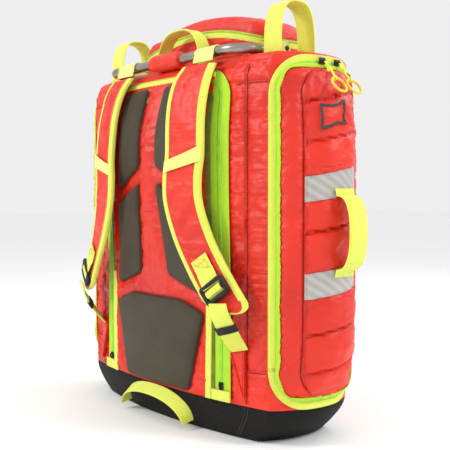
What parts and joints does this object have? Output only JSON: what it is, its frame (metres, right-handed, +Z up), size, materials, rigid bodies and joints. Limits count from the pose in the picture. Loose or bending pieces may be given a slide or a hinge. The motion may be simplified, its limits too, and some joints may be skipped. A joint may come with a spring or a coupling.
{
  "type": "trauma backpack",
  "caption": "Red trauma backpack with harness pads, curved shoulder straps, domed side pockets, a top pocket, a carrying tube and a black boot.",
  "frame": {"origin": "centre of the base, on the surface that the pack stands on", "axes": "+Z up, harness side towards -Y, side pockets at -X (left, seen from the harness) and +X (right)"},
  "size_m": [0.6848, 0.2748, 0.663],
  "materials": {
    "red_fabric": "semi-gloss coated woven fabric, finely wrinkled",
    "yellow_webbing": "matt high-visibility woven webbing",
    "zip_tape": "knitted zip tape with moulded coil",
    "grey_pad": "moulded matt padded fabric",
    "black_boot": "heavy textured coated fabric",
    "reflective_tape": "retroreflective tape with a fine diagonal pattern",
    "satin_aluminium": "satin anodised",
    "dark_plastic": "moulded",
    "rivet_steel": "dark rivet",
    "ring_yellow": "smooth plastic ring and knotted cord",
    "elastic_black": "ribbed elastic",
    "stiff_sheet": "plain sheet",
    "patch_grey": "embroidered blank patch"
  },
  "bodies": {
    "root": {"wedge_tab_left": "red_fabric", "upper_pad_left": "grey_pad", "mid_pad_left": "grey_pad", "strap_tail_left": "yellow_webbing", "tube_anchor_left": "yellow_webbing", "side_zip_left": "zip_tape", "tail_keeper_left": "elastic_black", "tube_rivet_left_1": "rivet_steel", "tube_rivet_left_2": "rivet_steel", "wedge_tab_right": "red_fabric", "upper_pad_right": "grey_pad", "mid_pad_right": "grey_pad", "strap_tail_right": "yellow_webbing", "tube_anchor_right": "yellow_webbing", "side_zip_right": "zip_tape", "tail_keeper_right": "elastic_black", "tube_rivet_right_1": "rivet_steel", "tube_rivet_right_2": "rivet_steel", "main_shell": "red_fabric", "back_panel": "red_fabric", "top_pocket": "red_fabric", "tube_grip": "red_fabric", "boot": "black_boot", "base_board": "stiff_sheet", "frame_sheet": "stiff_sheet", "lumbar_pad": "grey_pad", "harness_zip": "zip_tape", "front_zip": "zip_tape", "frame_tube": "satin_aluminium"},
    "side_door_left": {"side_door_left": "red_fabric", "stripe_upper_left": "reflective_tape", "stripe_lower_left": "reflective_tape"},
    "side_handle_left": {"side_handle_left": "yellow_webbing"},
    "side_slider_left_1": {"side_slider_left_1": "dark_plastic"},
    "side_pull_left_1": {"side_pull_left_1": "ring_yellow"},
    "shoulder_strap_left": {"shoulder_strap_left": "red_fabric", "strap_yoke_left": "yellow_webbing"},
    "ladder_lock_left": {"ladder_lock_left": "dark_plastic"},
    "top_loop_left": {"top_loop_left": "yellow_webbing"},
    "side_door_right": {"side_door_right": "red_fabric", "stripe_upper_right": "reflective_tape", "stripe_lower_right": "reflective_tape", "side_patch_right": "patch_grey"},
    "side_handle_right": {"side_handle_right": "yellow_webbing"},
    "side_slider_right_1": {"side_slider_right_1": "dark_plastic"},
    "side_pull_right_1": {"side_pull_right_1": "ring_yellow"},
    "side_slider_right_2": {"side_slider_right_2": "dark_plastic"},
    "side_pull_right_2": {"side_pull_right_2": "ring_yellow"},
    "shoulder_strap_right": {"shoulder_strap_right": "red_fabric", "strap_yoke_right": "yellow_webbing"},
    "ladder_lock_right": {"ladder_lock_right": "dark_plastic"},
    "top_loop_right": {"top_loop_right": "yellow_webbing"},
    "top_lid": {"top_lid": "red_fabric"},
    "top_slider": {"top_slider": "dark_plastic"},
    "top_pull": {"top_pull": "ring_yellow"},
    "front_door": {"front_door": "red_fabric"},
    "front_slider": {"front_slider": "dark_plastic"},
    "front_pull": {"front_pull": "ring_yellow"},
    "top_loop_centre": {"top_loop_centre": "yellow_webbing"},
    "drag_handle": {"drag_handle": "yellow_webbing"}
  },
  "joints": [
    {"name": "side_door_left_zip_hinge", "type": "hinge", "parent": "root", "child": "side_door_left", "pos_m": [-0.25, 0.084, 0.3135], "axis": [0, 0, -1], "range_deg": [0, 100]},
    {"name": "side_handle_left_swing", "type": "hinge", "parent": "side_door_left", "child": "side_handle_left", "pos_m": [-0.3162, 0, 0.315], "axis": [0, 0, 1], "range_deg": [-8, 8]},
    {"name": "side_slider_left_1_slide", "type": "slide", "parent": "side_door_left", "child": "side_slider_left_1", "axis": [0, 1, 0], "range_m": [-0.02, 0]},
    {"name": "side_pull_left_1_swing", "type": "hinge", "parent": "side_slider_left_1", "child": "side_pull_left_1", "pos_m": [-0.28652, -0.01, 0.5615], "axis": [0, 1, 0], "range_deg": [0, 60]},
    {"name": "shoulder_strap_left_swing", "type": "hinge", "parent": "root", "child": "shoulder_strap_left", "pos_m": [-0.11, -0.0875, 0.588], "axis": [-1, 0, 0], "range_deg": [0, 28]},
    {"name": "ladder_lock_left_tilt", "type": "hinge", "parent": "shoulder_strap_left", "child": "ladder_lock_left", "pos_m": [-0.1809, -0.13845, 0.24013], "axis": [-0.7651, 0.2486, 0.594], "range_deg": [0, 40]},
    {"name": "top_loop_left_fold", "type": "hinge", "parent": "root", "child": "top_loop_left", "pos_m": [-0.2375, -0.015, 0.5793], "axis": [0, -1, 0], "range_deg": [0, 70]},
    {"name": "side_door_right_zip_hinge", "type": "hinge", "parent": "root", "child": "side_door_right", "pos_m": [0.25, 0.084, 0.3135], "axis": [0, 0, 1], "range_deg": [0, 100]},
    {"name": "side_handle_right_swing", "type": "hinge", "parent": "side_door_right", "child": "side_handle_right", "pos_m": [0.3162, 0, 0.315], "axis": [0, 0, 1], "range_deg": [-8, 8]},
    {"name": "side_slider_right_1_slide", "type": "slide", "parent": "side_door_right", "child": "side_slider_right_1", "axis": [0, 1, 0], "range_m": [-0.02, 0]},
    {"name": "side_pull_right_1_swing", "type": "hinge", "parent": "side_slider_right_1", "child": "side_pull_right_1", "pos_m": [0.28652, -0.01, 0.5615], "axis": [0, -1, 0], "range_deg": [0, 60]},
    {"name": "side_slider_right_2_slide", "type": "slide", "parent": "side_door_right", "child": "side_slider_right_2", "axis": [0, 1, 0], "range_m": [0, 0.02]},
    {"name": "side_pull_right_2_swing", "type": "hinge", "parent": "side_slider_right_2", "child": "side_pull_right_2", "pos_m": [0.28503, 0.022, 0.5615], "axis": [0, -1, 0], "range_deg": [0, 60]},
    {"name": "shoulder_strap_right_swing", "type": "hinge", "parent": "root", "child": "shoulder_strap_right", "pos_m": [0.11, -0.0875, 0.588], "axis": [-1, 0, 0], "range_deg": [0, 28]},
    {"name": "ladder_lock_right_tilt", "type": "hinge", "parent": "shoulder_strap_right", "child": "ladder_lock_right", "pos_m": [0.1809, -0.13845, 0.24013], "axis": [-0.7651, -0.2486, -0.594], "range_deg": [0, 40]},
    {"name": "top_loop_right_fold", "type": "hinge", "parent": "root", "child": "top_loop_right", "pos_m": [0.2375, -0.015, 0.5793], "axis": [0, 1, 0], "range_deg": [0, 70]},
    {"name": "top_lid_hinge", "type": "hinge", "parent": "root", "child": "top_lid", "pos_m": [0, 0.0812, 0.6405], "axis": [-1, 0, 0], "range_deg": [0, 100]},
    {"name": "top_slider_slide", "type": "slide", "parent": "top_lid", "child": "top_slider", "axis": [0, 1, 0], "range_m": [-0.03, 0.02]},
    {"name": "top_pull_swing", "type": "hinge", "parent": "top_slider", "child": "top_pull", "pos_m": [-0.1743, 0.025, 0.612], "axis": [0, 1, 0], "range_deg": [0, 60]},
    {"name": "front_door_hinge", "type": "hinge", "parent": "root", "child": "front_door", "pos_m": [0, 0.0985, 0.076], "axis": [-1, 0, 0], "range_deg": [0, 90]},
    {"name": "front_slider_slide", "type": "slide", "parent": "front_door", "child": "front_slider", "axis": [1, 0, 0], "range_m": [-0.08, 0.08]},
    {"name": "front_pull_swing", "type": "hinge", "parent": "front_slider", "child": "front_pull", "pos_m": [0, 0.1092, 0.54], "axis": [1, 0, 0], "range_deg": [0, 60]},
    {"name": "top_loop_centre_fold", "type": "hinge", "parent": "root", "child": "top_loop_centre", "pos_m": [0, -0.0685, 0.5793], "axis": [1, 0, 0], "range_deg": [0, 16]},
    {"name": "drag_handle_swing", "type": "hinge", "parent": "root", "child": "drag_handle", "pos_m": [0, -0.1255, 0.012], "axis": [1, 0, 0], "range_deg": [0, 75]}
  ]
}
